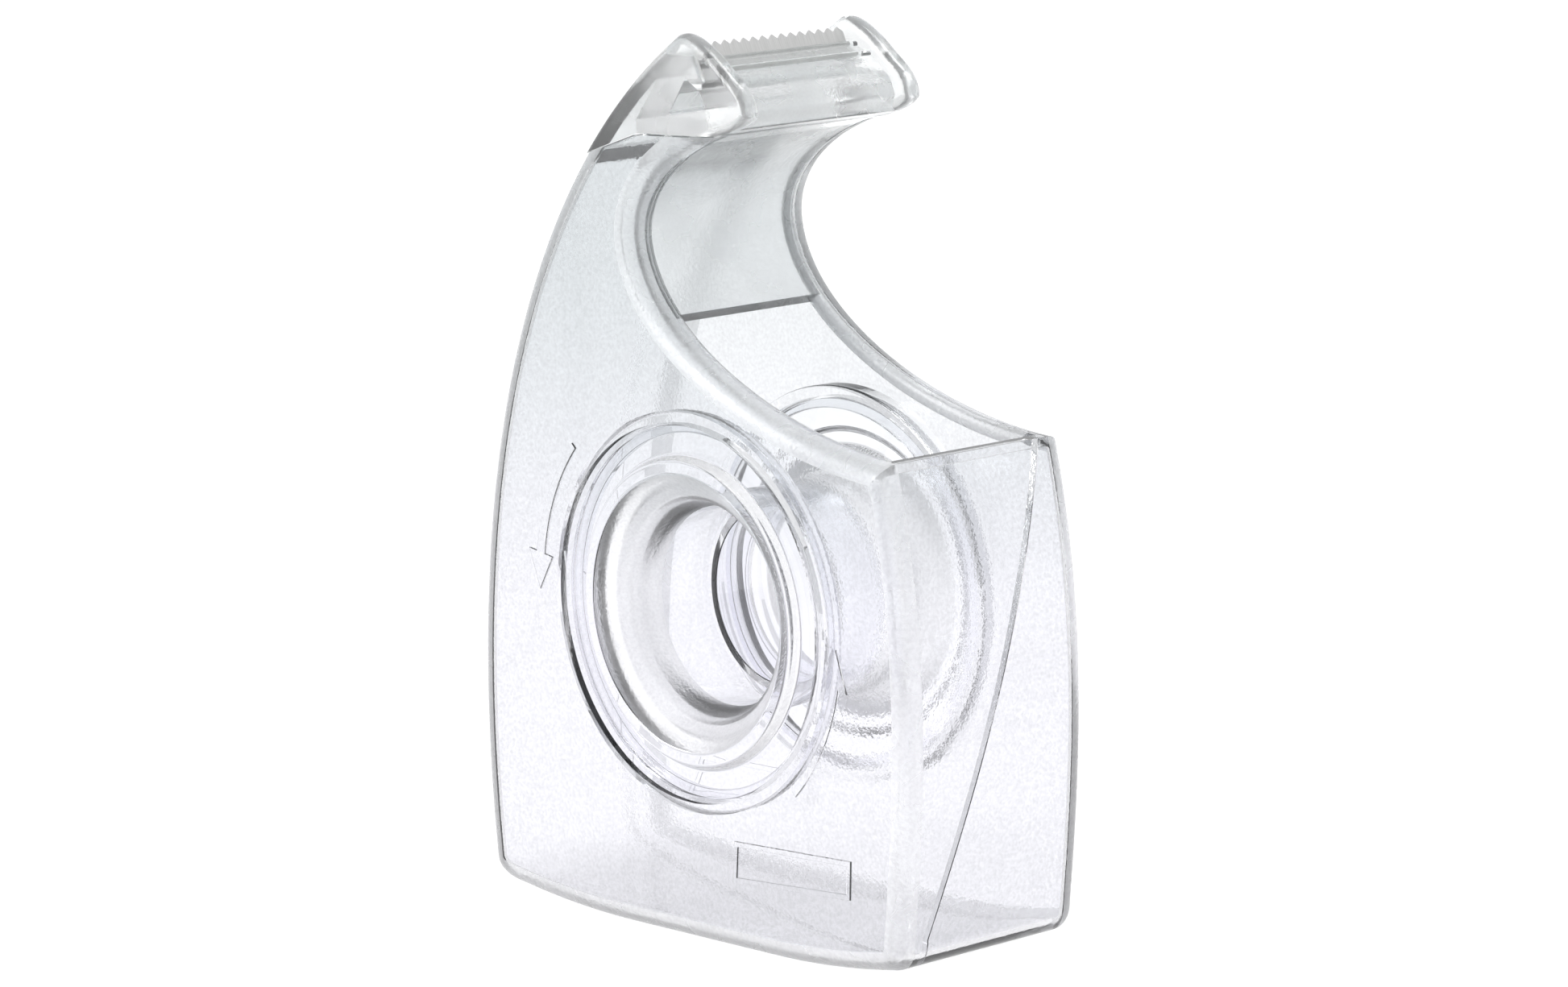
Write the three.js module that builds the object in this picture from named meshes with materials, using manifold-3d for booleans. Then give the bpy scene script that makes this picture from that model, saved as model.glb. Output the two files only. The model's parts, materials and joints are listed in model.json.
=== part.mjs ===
// Hand-held tape dispenser in clear plastic: two half shells that twist apart about a hollow hub,
// a cutter head with its landing pad and thumb rest, and a serrated steel blade.
// Millimetres, +Z up, +X towards the mouth, left half at -Y. The base stands on z = 0.
import * as THREE from 'three';
import { mergeVertices } from 'three/addons/utils/BufferGeometryUtils.js';
import Module from 'manifold-3d';

const wasm = await Module();
wasm.setup();

// ---- Driving dimensions ----
const bodyWidth = 27.5;      // outer face to outer face of the two side walls
const hubHeight = 37.6;      // hub axis above the base
const hubOffset = 0.73;      // hub axis ahead of the middle of the length
const backReach = 37.1;      // hub axis to the back wall
const frontReach = 36.0;     // hub axis to the front wall
const mouthRise = 20.0;      // hub axis up to the top of the front wall
const throatRise = 41.5;     // hub axis up to the deepest point of the thumb arc
const throatBack = 7.2;      // how far that point lies behind the hub axis
const headRise = 65.0;       // hub axis up to the top of the head
const headReach = 12.7;      // hub axis forward to the tip of the head
const shellWall = 1.4;       // side, back, front and bottom walls
const edgeRadius = 2.4;      // rounding along the shells' outer edges
const lipWidth = 2.9;        // inward lip along the thumb arc
const footLength = 24;       // flat stretch of the base

const coreBore = 25.8;       // bore of the tape core that the hub carries
const coreClearance = 0.3;   // radial room between core and hub tube
const tapeWidth = 19;        // widest tape
const hubWall = 1.2;         // hub tube and flange
const flangeRadius = 21.2;   // round flange let into the side wall
const flangeDepth = 1.2;     // flange face below the wall face
const mouthRadius = 15.65;   // finger hole at the face
const hubLip = 1.75;         // raised ring round the finger hole
const tubeReach = 5.7;       // left tube's end past the middle plane
const collarWall = 1.3;      // ring behind the wall that holds the flange
const ledgeWidth = 1.0;      // step inside that ring, under the flange
const ledgeThickness = 0.8;

const headInset = 0.45;      // head's sides inside the shells' faces
const cheekWidth = 2.5;      // head's side cheeks
const headEdge = 1.3;        // rounding along the head's edges
const padDrop = 2.2;         // landing pad below the cheeks' front edge
const ribRadius = 0.45;      // ribs across the landing pad
const bladeShow = 1.3;       // blade standing clear of the plastic between the cheeks
const webWall = 1.6;         // head's back wall and slanted web

const bladeThickness = 0.3;
const bladeHeight = 4.4;     // from foot to tooth tips
const toothPitch = 1.35;
const toothDepth = 0.9;

const fitGap = 0.3;          // room between neighbouring pieces
const embossHeight = 0.2;    // arrows and label frames on the side walls
const arrowRadius = 25.0;    // middle of the arrows' bands, about the hub
const arrowSweep = 44;       // degrees, tail to tip
const arrowBand = 1.5;
const arrowHead = 4.4;

// Where the parting line crosses the shells, as distances from the middle plane.
const partingAtMouth = 10.1;
const partingAtToe = -9.5;
const partingAtHeel = 8.0;
const partingAtBack = 6.3;

const curveSteps = 11;
const roundSteps = 3;
const hubSegments = 48;

// ---- Values worked out from them ----
const halfWidth = bodyWidth / 2;
const lipInner = halfWidth - lipWidth;
const tubeRadius = coreBore / 2 - coreClearance;
const tubeBore = tubeRadius - hubWall;
const spigotRadius = tubeBore - fitGap;
const flangeTop = halfWidth - flangeDepth;
const flangeBottom = flangeTop - hubWall - 0.2;
const flareStart = tapeWidth / 2 + 0.2;
const headHalf = halfWidth - headInset;
const padHalf = headHalf - cheekWidth;
const bladeWidth = 2 * (padHalf - fitGap);
const far = 200;

// ---- Solids ----
function toSolid(geometry) {
  const bare = geometry.index ? geometry.toNonIndexed() : geometry.clone();
  bare.deleteAttribute('normal');
  bare.deleteAttribute('uv');
  const merged = mergeVertices(bare, 1e-4);
  const vertProperties = new Float32Array(merged.attributes.position.array);
  const triVerts = new Uint32Array(merged.index.array);
  return new wasm.Manifold(new wasm.Mesh({ numProp: 3, vertProperties, triVerts }));
}

function toGeometry(solid) {
  const mesh = solid.getMesh();
  const geometry = new THREE.BufferGeometry();
  geometry.setAttribute('position', new THREE.BufferAttribute(new Float32Array(mesh.vertProperties), 3));
  geometry.setIndex(new THREE.BufferAttribute(new Uint32Array(mesh.triVerts), 1));
  geometry.computeVertexNormals();
  return geometry;
}

// A side profile in (x, z), seen from the left, run across the width from y0 to y1.
function acrossWidth(points, y0, y1) {
  const geometry = new THREE.ExtrudeGeometry(new THREE.Shape(points), { depth: y1 - y0, bevelEnabled: false });
  geometry.rotateX(Math.PI / 2);
  geometry.translate(0, y1, 0);
  return toSolid(geometry);
}

// The same, symmetric about the middle plane and with rounded edges.
function roundedAcrossWidth(points, half, radius) {
  const geometry = new THREE.ExtrudeGeometry(new THREE.Shape(points), {
    depth: 2 * (half - radius),
    bevelEnabled: true,
    bevelThickness: radius,
    bevelSize: radius,
    bevelOffset: -radius,
    bevelSegments: roundSteps,
  });
  geometry.rotateX(Math.PI / 2);
  geometry.translate(0, half - radius, 0);
  return toSolid(geometry);
}

// A profile in (y, z) run along X from x0 to x1.
function alongLength(points, x0, x1) {
  const geometry = new THREE.ExtrudeGeometry(new THREE.Shape(points), { depth: x1 - x0, bevelEnabled: false });
  geometry.rotateX(Math.PI / 2);
  geometry.rotateZ(Math.PI / 2);
  geometry.translate(x0, 0, 0);
  return toSolid(geometry);
}

// A plan outline in (x, y) raised from z0 to z1.
function upwards(points, z0, z1) {
  const geometry = new THREE.ExtrudeGeometry(new THREE.Shape(points), { depth: z1 - z0, bevelEnabled: false });
  geometry.translate(0, 0, z0);
  return toSolid(geometry);
}

// A section in (radius, distance along +Y) turned about the hub axis.
function turned(section) {
  const closed = [...section, section[0]];
  const geometry = new THREE.LatheGeometry(closed, hubSegments);
  return toSolid(outwards(geometry));
}

function outwards(geometry) {
  const position = geometry.attributes.position;
  const index = geometry.index;
  let volume = 0;
  const [a, b, c] = [new THREE.Vector3(), new THREE.Vector3(), new THREE.Vector3()];
  for (let i = 0; i < index.count; i += 3) {
    a.fromBufferAttribute(position, index.getX(i));
    b.fromBufferAttribute(position, index.getX(i + 1));
    c.fromBufferAttribute(position, index.getX(i + 2));
    volume += a.dot(b.cross(c));
  }
  if (volume < 0) {
    const flipped = Array.from(index.array);
    for (let i = 0; i < flipped.length; i += 3) {
      [flipped[i], flipped[i + 1]] = [flipped[i + 1], flipped[i]];
    }
    geometry.setIndex(flipped);
  }
  return geometry;
}

// ---- Side outlines, about the hub axis: u forward, v up ----
const at = (u, v) => new THREE.Vector2(u, v);

function curve(p0, p1, p2, p3, steps = curveSteps) {
  return new THREE.CubicBezierCurve(p0, p1, p2, p3).getPoints(steps);
}

function corner(p0, p1, p2) {
  return new THREE.QuadraticBezierCurve(p0, p1, p2).getPoints(roundSteps + 1);
}

// Moves each point of a closed, counter-clockwise outline inwards.
function inset(points, distance) {
  return points.map((point, i) => {
    const before = points[(i + points.length - 1) % points.length];
    const after = points[(i + 1) % points.length];
    const first = point.clone().sub(before).normalize();
    const second = after.clone().sub(point).normalize();
    const bisector = at(-first.y - second.y, first.x + second.x);
    const shift = distance * 2 / bisector.lengthSq();
    return point.clone().add(bisector.multiplyScalar(shift));
  });
}

function withoutRepeats(points) {
  return points.filter((point, i) => {
    const before = points[(i + points.length - 1) % points.length];
    return point.distanceTo(before) > 1e-3;
  });
}

const crown = at(0.9, headRise - 0.6);
const chin = at(6.8, throatRise + 12.2);
const throat = at(-throatBack, throatRise);
const mouthCorner = at(frontReach - 3.1, mouthRise);
const heel = at(0.5 - backReach, 4.5 - hubHeight);
const toe = at(frontReach - 2.5, 5.0 - hubHeight);

const backCurve = curve(
  crown,
  at(-25.9, headRise - 16.9),
  at(-backReach - 3.4, 13.1),
  heel,
  2 * curveSteps,
);
const base = [
  ...corner(heel, at(0.7 - backReach, 1.7 - hubHeight), at(5.3 - backReach, 1.4 - hubHeight)),
  at(-footLength / 2 - 10, 0.5 - hubHeight),
  at(-footLength / 2, -hubHeight),
  at(footLength / 2, -hubHeight),
  at(footLength / 2 + 9, 0.6 - hubHeight),
  ...corner(at(frontReach - 5.5, 1.5 - hubHeight), at(frontReach - 2.7, 1.7 - hubHeight), toe),
];
const frontCurve = curve(
  toe,
  at(frontReach, -14.4),
  at(frontReach + 1.2, 1.4),
  mouthCorner,
);
const mouthCurve = curve(
  mouthCorner,
  at(13.6, mouthRise + 1.3),
  at(0.9 - throatBack, throatRise - 10.7),
  throat,
);
const thumbCurve = curve(
  throat,
  at(-throatBack - 0.3, throatRise + 5.2),
  at(-1.7, chin.y - 2.5),
  chin,
);

// The shells' outline runs on past the chin and up to the crown, where the head takes its place.
const shellOutline = withoutRepeats([
  ...backCurve,
  ...base,
  ...frontCurve,
  ...mouthCurve,
  ...thumbCurve,
  at(chin.x + 9, chin.y + 2.4),
  at(chin.x + 9, crown.y),
]);

const headTip = at(headReach, throatRise + 14.7);
const headOutline = withoutRepeats([
  ...backCurve,
  ...thumbCurve,
  ...corner(chin, at(headReach - 0.6, chin.y + 1.2), headTip),
  ...corner(headTip, at(headReach + 0.1, headTip.y + 2.1), at(headReach - 2.1, headTip.y + 3.8)),
  at(7.2, headRise - 2.3),
  ...corner(at(4.6, headRise - 0.6), at(2.8, headRise + 0.5), crown),
]);

// Everything above the line where the head sits on the shells.
function headZone(shift) {
  const front = chin.x - 0.4 + shift;
  return [
    at(-far, throatRise + 9.0 + shift),
    at(-15.5, throatRise + 9.0 + shift),
    at(-5.6, throatRise + 12.0 + shift),
    at(front, throatRise + 12.2 + shift),
    at(front, throatRise + 4),
    at(far, throatRise + 4),
    at(far, far),
    at(-far, far),
  ];
}

// ---- Shells ----
// Everything on the left side of the parting line, moved by a shift across the width.
function leftZone(shift) {
  const toeX = frontReach - 5;
  const heelX = heel.x + 2;
  const sideY = -far;
  const front = alongLength([
    at(sideY, -far),
    at(partingAtToe + shift, -far),
    at(partingAtToe + shift, toe.y),
    at(partingAtMouth + shift, mouthRise + 0.5),
    at(partingAtMouth + shift, far),
    at(sideY, far),
  ], toeX, far);
  const bottom = upwards([
    at(-far, sideY),
    at(toeX + 0.01, sideY),
    at(toeX + 0.01, partingAtToe + shift),
    at(heelX, partingAtHeel + shift),
    at(-far, partingAtHeel + shift),
  ], -far, heel.y);
  const back = alongLength([
    at(sideY, heel.y - 0.01),
    at(partingAtHeel + shift, heel.y - 0.01),
    at(partingAtBack + shift, mouthRise),
    at(partingAtBack + shift, far),
    at(sideY, far),
  ], -far, toeX + 0.01);
  return front.add(bottom).add(back);
}

function mouthOpening() {
  const inner = inset(shellOutline, shellWall + 0.5);
  const start = shellOutline.findIndex((point) => point.distanceTo(mouthCorner) < 1e-3) + 1;
  const along = inner.slice(start, start + 2 * curveSteps);
  const frontInside = frontReach - 3.1 - shellWall;
  return acrossWidth([
    at(frontInside, along[0].y),
    ...along,
    at(chin.x, throatRise + 16),
    at(frontInside, throatRise + 16),
  ].reverse(), -lipInner, lipInner);
}

function arrow(startDegrees) {
  const sweepTo = startDegrees + arrowSweep;
  const neck = sweepTo - THREE.MathUtils.radToDeg(arrowHead / arrowRadius);
  const polar = (radius, degrees) => {
    const angle = THREE.MathUtils.degToRad(degrees);
    return at(radius * Math.cos(angle), radius * Math.sin(angle));
  };
  const steps = 6;
  const outer = [];
  const inner = [];
  for (let i = 0; i <= steps; i += 1) {
    const degrees = startDegrees + (neck - startDegrees) * i / steps;
    const half = arrowBand / 2 * (0.55 + 0.45 * i / steps);
    outer.push(polar(arrowRadius + half, degrees));
    inner.unshift(polar(arrowRadius - half, degrees));
  }
  return [
    ...outer,
    polar(arrowRadius + arrowBand * 1.4, neck),
    polar(arrowRadius, sweepTo),
    polar(arrowRadius - arrowBand * 1.4, neck),
    ...inner,
  ];
}

// A blank label frame: a raised rim with nothing written inside it.
function labelFrame(corners, y0, y1) {
  return acrossWidth(corners, y0, y1).subtract(acrossWidth(inset(corners, 0.6), y0 - 1, y1 + 1));
}

function hubSeat() {
  const ringTop = halfWidth - shellWall + 0.2;
  const ringBottom = flangeBottom - fitGap - ledgeThickness;
  const seatRadius = flangeRadius + fitGap;
  const outerRadius = seatRadius + collarWall;
  const ledgeRadius = flangeRadius - ledgeWidth;
  return {
    ring: turned([
      at(ledgeRadius, ringBottom),
      at(outerRadius, ringBottom),
      at(outerRadius, ringTop),
      at(seatRadius - 0.01, ringTop),
      at(seatRadius - 0.01, flangeBottom - fitGap),
      at(ledgeRadius, flangeBottom - fitGap),
    ]),
    hole: turned([
      at(0, flangeBottom - fitGap),
      at(seatRadius, flangeBottom - fitGap),
      at(seatRadius, halfWidth + 1),
      at(0, halfWidth + 1),
    ]),
  };
}

const mirrored = (solid) => solid.mirror([0, 1, 0]);

function makeShells() {
  const outside = roundedAcrossWidth(shellOutline, halfWidth, edgeRadius);
  const hollow = roundedAcrossWidth(inset(shellOutline, shellWall), halfWidth - shellWall, edgeRadius - shellWall);
  const seat = hubSeat();
  const sleeve = outside.subtract(hollow)
    .subtract(mouthOpening())
    .subtract(acrossWidth(headZone(-fitGap / 2), -far, far))
    .subtract(seat.hole)
    .subtract(mirrored(seat.hole))
    .add(seat.ring)
    .add(mirrored(seat.ring));
  const root = halfWidth - shellWall / 2;
  const raised = halfWidth + embossHeight;
  const leftLabel = [at(6.7, -29.6), at(26.0, -28.6), at(26.3, -24.2), at(7.2, -24.8)];
  const rightLabel = [at(-30.6, -29.6), at(-9.1, -28.0), at(-8.6, -24.2), at(-27.5, -24.2)];
  const left = sleeve.intersect(leftZone(-fitGap / 2))
    .add(acrossWidth(arrow(136), -raised, -root))
    .add(acrossWidth(arrow(-46), -raised, -root))
    .add(labelFrame(leftLabel, -raised, -root));
  const right = sleeve.subtract(leftZone(fitGap / 2))
    .add(labelFrame(rightLabel, root, raised));
  return { left, right };
}

// ---- Hub halves ----
function hubFlare() {
  return [
    at(tubeRadius, flareStart),
    at(tubeRadius + 0.5, flareStart + 0.8),
    at(tubeRadius + 1.6, flangeBottom),
    at(flangeRadius, flangeBottom),
    at(flangeRadius, flangeTop),
    at(mouthRadius + hubLip + 0.4, flangeTop),
    at(mouthRadius + hubLip, halfWidth - 0.3),
    at(mouthRadius + hubLip - 0.4, halfWidth),
    at(mouthRadius + 0.5, halfWidth),
    at(mouthRadius, halfWidth - 0.4),
    at(tubeBore + 2.6, halfWidth - 1.7),
    at(tubeBore + 1.2, halfWidth - 2.9),
    at(tubeBore, flareStart),
  ];
}

function makeLeftHub() {
  const tube = [
    ...hubFlare(),
    at(tubeBore, -tubeReach),
    at(tubeRadius, -tubeReach),
  ];
  return mirrored(turned(tube));
}

function makeRightHub() {
  const shoulder = tubeReach + fitGap;
  const spigotBore = spigotRadius - hubWall + 0.2;
  return turned([
    ...hubFlare().slice(0, -1),
    at(spigotBore + 0.6, flareStart),
    at(spigotBore, shoulder + 2),
    at(spigotBore, 0),
    at(spigotRadius, 0),
    at(spigotRadius, shoulder),
    at(tubeRadius, shoulder),
  ]);
}

// ---- Cutter head ----
const bladeTip = at(2.4, headRise - 1.3);
const bladeLean = THREE.MathUtils.degToRad(25);
const bladeDown = at(Math.sin(bladeLean), -Math.cos(bladeLean));
const bladeAcross = at(Math.cos(bladeLean), Math.sin(bladeLean));

function bladeSlot() {
  const half = bladeThickness / 2 + fitGap;
  const top = bladeTip.clone().addScaledVector(bladeDown, -3);
  const foot = bladeTip.clone().addScaledVector(bladeDown, bladeHeight + fitGap);
  return acrossWidth([
    foot.clone().addScaledVector(bladeAcross, -half),
    foot.clone().addScaledVector(bladeAcross, half),
    top.clone().addScaledVector(bladeAcross, half),
    top.clone().addScaledVector(bladeAcross, -half),
  ], -padHalf, padHalf);
}

function makeHead() {
  const padTop = at(bladeTip.x + 0.7, bladeTip.y - bladeShow);
  const padRidge = at(7.4, headRise - 2.3 - padDrop);
  const padFront = at(headReach - 2.8, headTip.y + 2.2);
  const padNose = at(headReach - 2.0, headTip.y + 0.4);
  const padFoot = at(headReach - 3.2, chin.y + 0.7);
  const padRecess = acrossWidth([
    at(-far, far),
    at(-far, padTop.y),
    padTop,
    padRidge,
    padFront,
    padNose,
    padFoot,
    at(far, chin.y),
    at(far, far),
  ], -padHalf, padHalf);
  const tunnel = acrossWidth([
    at(-0.3, throatRise + 14.2),
    at(6.2, throatRise + 15.3),
    at(5.4, headRise - 6.4),
    at(3.0, headRise - 4.9),
  ], -far, far);
  const pocketInside = inset(backCurve.concat(thumbCurve), webWall)
    .slice(1, backCurve.length - 1)
    .filter((point) => point.y > throatRise + 7 && point.y < headRise - 5.4);
  const pocket = acrossWidth([
    ...pocketInside,
    at(-7.2, throatRise + 8),
    at(-7.2, throatRise + 13.4),
  ], -padHalf, padHalf);
  const thumbEnd = shellOutline.findIndex((point) => point.distanceTo(throat) < 1e-3) - 2;
  const wallOutside = shellOutline.slice(thumbEnd, -2);
  const wallInside = inset(shellOutline, shellWall).slice(thumbEnd, -2).reverse();
  const thumbWall = acrossWidth([...wallOutside, ...wallInside], -lipInner + fitGap, lipInner - fitGap);
  let head = roundedAcrossWidth(headOutline, headHalf, headEdge)
    .intersect(acrossWidth(headZone(fitGap / 2), -far, far))
    .subtract(padRecess)
    .subtract(tunnel)
    .subtract(pocket)
    .add(thumbWall);
  for (let i = 0; i < 2; i += 1) {
    const centre = padTop.clone().lerp(padRidge, 0.3 + 0.5 * i);
    head = head.add(padRib(centre));
  }
  return head.subtract(bladeSlot());
}

function padRib(centre) {
  const geometry = new THREE.CylinderGeometry(ribRadius, ribRadius, 2 * padHalf + 0.4, 8);
  geometry.translate(centre.x, 0, centre.y);
  return toSolid(geometry);
}

// ---- Blade: a flat strip, toothed along its top edge ----
function makeBlade() {
  const half = bladeWidth / 2;
  const teeth = Math.floor(bladeWidth / toothPitch);
  const pitch = bladeWidth / teeth;
  const outline = [at(-half, -bladeHeight), at(half, -bladeHeight)];
  for (let i = 0; i < teeth; i += 1) {
    outline.push(at(half - i * pitch, -toothDepth));
    outline.push(at(half - (i + 0.5) * pitch, 0));
  }
  outline.push(at(-half, -toothDepth));
  const geometry = new THREE.ExtrudeGeometry(new THREE.Shape(outline), {
    depth: bladeThickness,
    bevelEnabled: false,
  });
  geometry.translate(0, 0, -bladeThickness / 2);
  geometry.rotateX(Math.PI / 2);
  geometry.rotateZ(Math.PI / 2);
  geometry.rotateY(-bladeLean);
  geometry.translate(bladeTip.x, 0, bladeTip.y);
  return geometry;
}

// ---- Assembly ----
const frosted = { color: 0xe9edf0, roughness: 0.35, metalness: 0 };
const clear = { color: 0xeef3f3, roughness: 0.12, metalness: 0 };
const steel = { color: 0xb4b6b5, roughness: 0.35, metalness: 1 };

function piece(name, geometry, finish) {
  const mesh = new THREE.Mesh(geometry, new THREE.MeshStandardMaterial(finish));
  mesh.name = name;
  return mesh;
}

const dispenser = new THREE.Group();
dispenser.position.set(hubOffset, 0, hubHeight);
const shells = makeShells();
dispenser.add(
  piece('left_shell', toGeometry(shells.left), frosted),
  piece('right_shell', toGeometry(shells.right), frosted),
  piece('left_hub', toGeometry(makeLeftHub()), clear),
  piece('right_hub', toGeometry(makeRightHub()), clear),
  piece('cutter_head', toGeometry(makeHead()), clear),
  piece('blade', makeBlade(), steel),
);

export default dispenser;
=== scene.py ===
import bpy
import bmesh
import json
import math
from mathutils import Matrix, Vector


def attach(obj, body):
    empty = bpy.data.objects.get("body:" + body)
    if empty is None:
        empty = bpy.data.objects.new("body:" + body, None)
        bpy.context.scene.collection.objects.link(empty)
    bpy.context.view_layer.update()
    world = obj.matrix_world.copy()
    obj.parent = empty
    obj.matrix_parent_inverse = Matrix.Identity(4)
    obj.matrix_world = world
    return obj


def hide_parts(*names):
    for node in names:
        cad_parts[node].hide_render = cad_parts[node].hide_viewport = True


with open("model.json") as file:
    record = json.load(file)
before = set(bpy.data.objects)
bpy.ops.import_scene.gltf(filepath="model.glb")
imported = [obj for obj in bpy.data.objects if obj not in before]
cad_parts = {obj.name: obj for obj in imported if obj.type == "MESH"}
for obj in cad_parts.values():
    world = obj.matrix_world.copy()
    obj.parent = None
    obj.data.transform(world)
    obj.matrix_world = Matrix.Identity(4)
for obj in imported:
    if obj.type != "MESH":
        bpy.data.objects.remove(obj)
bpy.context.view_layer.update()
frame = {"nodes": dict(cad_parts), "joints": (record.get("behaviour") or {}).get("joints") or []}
print("frame loaded:", len(frame["nodes"]), "nodes")

# Everything below is worked out in millimetres about the hub axis: u forward, v up, y across.
mm = 0.001
hubAxis = next(Vector(joint["pos_m"]) for joint in frame["joints"] if joint["type"] == "hinge")


view = {
    "azimuth": 48.21,
    "elevation": 9.75,
    "roll": -1.98,
    "distance": 0.62514,
    "lens": 127.54,
    "sensor": 36.0,
    "nearest": 0.05,
    "aim": (0.00195, 0.0, 0.01199),  # from the hub axis
}


def makeCamera():
    data = bpy.data.cameras.new("camera")
    data.lens = view["lens"]
    data.sensor_width = view["sensor"]
    data.clip_start = view["nearest"]
    camera = bpy.data.objects.new("camera", data)
    bpy.context.scene.collection.objects.link(camera)
    azimuth, elevation, roll = (math.radians(view[key]) for key in ("azimuth", "elevation", "roll"))
    back = Vector((math.sin(azimuth) * math.cos(elevation), -math.cos(azimuth) * math.cos(elevation),
                   math.sin(elevation)))
    right = Vector((math.cos(azimuth), math.sin(azimuth), 0.0))
    up = back.cross(right)
    turnedRight = right * math.cos(roll) + up * math.sin(roll)
    turnedUp = up * math.cos(roll) - right * math.sin(roll)
    pose = Matrix((turnedRight, turnedUp, back)).transposed().to_4x4()
    pose.translation = hubAxis + Vector(view["aim"]) + back * view["distance"]
    camera.matrix_world = pose
    bpy.context.scene.camera = camera
    return back


studio = {
    "floorSize": 3.0,
    "floorDrop": 0.0002,  # keeps the floor and the base from flickering through each other
    "floorColour": (0.2, 0.2, 0.205, 1.0),
    "floorRoughness": 0.9,
    "floorShine": 0.1,
    "floorGlow": 0.92,   # keeps the floor pale under the object
    "backdrop": 0.88,    # light from behind the object
    "frontFill": 0.68,   # light from the camera's side
    "worldColour": (0.985, 0.99, 1.0, 1.0),
    "turnFrom": -0.3,    # where the backdrop starts to give way to the front fill
    "turnTo": 0.75,
    "lightBounces": 32,
    "lampAim": (0, 0, 0.05),
    # name, place, size and power of each softbox
    "softboxes": (("softboxLeft", (-0.35, -0.75, 0.45), (0.25, 0.6), 4.0),
                  ("softboxTop", (0.15, 0.1, 0.95), (0.3, 0.5), 4.0)),
}


def makeFloor():
    half = studio["floorSize"] / 2
    mesh = bpy.data.meshes.new("floor")
    corners = [(-half, -half, 0), (half, -half, 0), (half, half, 0), (-half, half, 0)]
    mesh.from_pydata(corners, [], [(0, 1, 2, 3)])
    floor = bpy.data.objects.new("floor", mesh)
    floor.location.z = -studio["floorDrop"]
    bpy.context.scene.collection.objects.link(floor)
    material = bpy.data.materials.new("paleFloor")
    material.use_nodes = True
    shader = material.node_tree.nodes["Principled BSDF"]
    shader.inputs["Base Color"].default_value = studio["floorColour"]
    shader.inputs["Roughness"].default_value = studio["floorRoughness"]
    shader.inputs["Specular IOR Level"].default_value = studio["floorShine"]
    shader.inputs["Emission Color"].default_value = (1.0, 1.0, 1.0, 1.0)
    shader.inputs["Emission Strength"].default_value = studio["floorGlow"]
    mesh.materials.append(material)


def makeWorld(back):
    world = bpy.data.worlds.new("studio")
    bpy.context.scene.world = world
    world.use_nodes = True
    nodes, links = world.node_tree.nodes, world.node_tree.links
    coordinate = nodes.new("ShaderNodeTexCoord")
    facing = nodes.new("ShaderNodeVectorMath")
    facing.operation = "DOT_PRODUCT"
    facing.inputs[1].default_value = (back.x, back.y, 0.0)
    links.new(coordinate.outputs["Generated"], facing.inputs[0])
    ramp = nodes.new("ShaderNodeMapRange")
    ramp.interpolation_type = "SMOOTHSTEP"
    ramp.inputs["From Min"].default_value = studio["turnFrom"]
    ramp.inputs["From Max"].default_value = studio["turnTo"]
    ramp.inputs["To Min"].default_value = studio["backdrop"]
    ramp.inputs["To Max"].default_value = studio["frontFill"]
    links.new(facing.outputs["Value"], ramp.inputs["Value"])
    links.new(ramp.outputs["Result"], nodes["Background"].inputs["Strength"])
    nodes["Background"].inputs["Color"].default_value = studio["worldColour"]


def makeSoftbox(name, place, size, power):
    data = bpy.data.lights.new(name, "AREA")
    data.shape = "RECTANGLE"
    data.size, data.size_y = size
    data.energy = power
    lamp = bpy.data.objects.new(name, data)
    lamp.location = place
    lamp.rotation_euler = (Vector(studio["lampAim"]) - Vector(place)).to_track_quat("-Z", "Y").to_euler()
    bpy.context.scene.collection.objects.link(lamp)


back = makeCamera()
makeFloor()
makeWorld(back)
for softbox in studio["softboxes"]:
    makeSoftbox(*softbox)
bpy.context.scene.view_settings.view_transform = "Standard"
# light runs a long way inside clear plastic before it comes out
bpy.context.scene.cycles.max_bounces = studio["lightBounces"]
bpy.context.scene.cycles.transmission_bounces = studio["lightBounces"]
print("studio ready")


outline = {
    "hubHeight": 37.6,
    "backReach": 37.1,
    "frontReach": 36.0,
    "mouthRise": 20.0,
    "throatRise": 41.5,
    "throatBack": 7.2,
    "headRise": 65.0,
    "headReach": 12.7,
    "footHalf": 12.0,
    "steps": 44,
    "cornerSteps": 10,
    "tipSteps": 8,
}


def cubic(p0, p1, p2, p3, steps):
    points = []
    for i in range(steps + 1):
        t = i / steps
        s = 1 - t
        weights = (s ** 3, 3 * s * s * t, 3 * s * t * t, t ** 3)
        points.append(tuple(sum(w * p[k] for w, p in zip(weights, (p0, p1, p2, p3))) for k in (0, 1)))
    return points


def quadratic(p0, p1, p2, steps):
    first = tuple((p0[k] + 2 * p1[k]) / 3 for k in (0, 1))
    second = tuple((p2[k] + 2 * p1[k]) / 3 for k in (0, 1))
    return cubic(p0, first, second, p2, steps)


def joined(*runs):
    points = []
    for point in (p for run in runs for p in run):
        if not points or math.dist(point, points[-1]) > 0.01:
            points.append(point)
    if math.dist(points[0], points[-1]) < 0.01:
        points.pop()
    return points


def clearance(point, points, near, reach=26):
    # distance from a point to the stretch of outline around corner number near
    best = 1e9
    for step in range(-reach, reach):
        a = Vector(points[(near + step) % len(points)])
        b = Vector(points[(near + step + 1) % len(points)])
        along = b - a
        t = max(0.0, min(1.0, (point - a).dot(along) / max(along.length_squared, 1e-12)))
        best = min(best, (point - a - along * t).length)
    return best


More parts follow.
